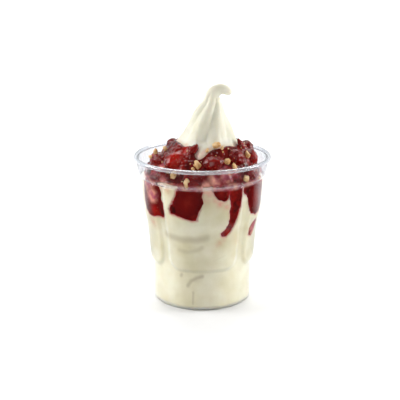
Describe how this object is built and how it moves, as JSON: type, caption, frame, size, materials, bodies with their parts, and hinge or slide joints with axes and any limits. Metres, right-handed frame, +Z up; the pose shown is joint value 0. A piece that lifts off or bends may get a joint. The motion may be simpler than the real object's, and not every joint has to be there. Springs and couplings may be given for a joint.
{
  "type": "strawberry sundae",
  "caption": "Vanilla soft serve sundae in a clear plastic cup, topped with strawberry sauce, cut strawberries and chopped nuts, with a curled peak.",
  "frame": {"origin": "on the floor, under the middle of the cup", "axes": "+Z up; the shown side faces -Y and the tip of the peak bends towards +X"},
  "size_m": [0.0918, 0.0918, 0.1472],
  "materials": {
    "clear_plastic": "clear, glossy moulded plastic",
    "vanilla_soft_serve": "smooth, softly shining frozen cream",
    "strawberry_sauce": "wet, glossy, see-through red syrup",
    "strawberry_fruit": "wet cut fruit with small seeds"
  },
  "bodies": {
    "root": {"cup": "clear_plastic", "soft_serve": "vanilla_soft_serve", "strawberry_sauce": "strawberry_sauce", "strawberry_01": "strawberry_fruit", "strawberry_02": "strawberry_fruit", "strawberry_03": "strawberry_fruit", "strawberry_04": "strawberry_fruit", "strawberry_05": "strawberry_fruit", "strawberry_06": "strawberry_fruit", "strawberry_07": "strawberry_fruit", "strawberry_08": "strawberry_fruit", "strawberry_09": "strawberry_fruit", "strawberry_10": "strawberry_fruit", "strawberry_11": "strawberry_fruit", "strawberry_12": "strawberry_fruit", "strawberry_13": "strawberry_fruit", "strawberry_14": "strawberry_fruit", "strawberry_15": "strawberry_fruit", "strawberry_16": "strawberry_fruit", "strawberry_17": "strawberry_fruit", "strawberry_18": "strawberry_fruit", "strawberry_19": "strawberry_fruit", "strawberry_20": "strawberry_fruit", "strawberry_21": "strawberry_fruit", "strawberry_22": "strawberry_fruit"}
  },
  "joints": []
}
